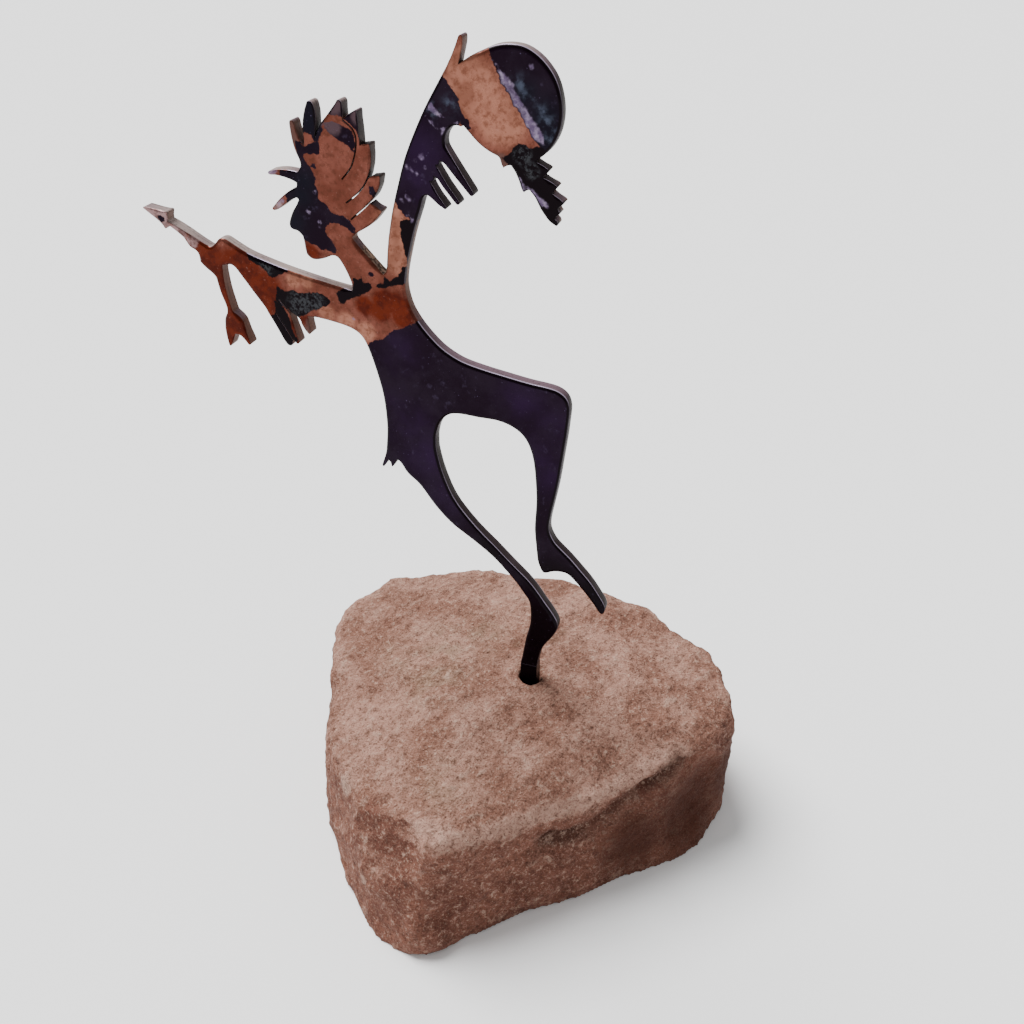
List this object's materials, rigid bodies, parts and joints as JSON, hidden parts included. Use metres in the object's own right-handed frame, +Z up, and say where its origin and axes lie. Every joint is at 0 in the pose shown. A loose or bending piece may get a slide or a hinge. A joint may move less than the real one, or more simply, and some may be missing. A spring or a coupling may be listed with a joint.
{
  "type": "metal sculpture",
  "caption": "Flat-cut patinated steel dancer with a feather headdress and a round drum, standing on a narrow post in a block of natural sandstone.",
  "frame": {"origin": "on the underside of the rock, straight below the middle of the post", "axes": "+Z up, the front face of the plate looks along -Y, the figure's outstretched arm points along -X"},
  "size_m": [0.1594, 0.1218, 0.2153],
  "materials": {
    "patinated_steel": "copper and dark purple patina under a gloss clear coat",
    "red_sandstone": "rough natural stone"
  },
  "bodies": {
    "root": {"dancer_figure": "patinated_steel", "rock_base": "red_sandstone"}
  },
  "joints": []
}
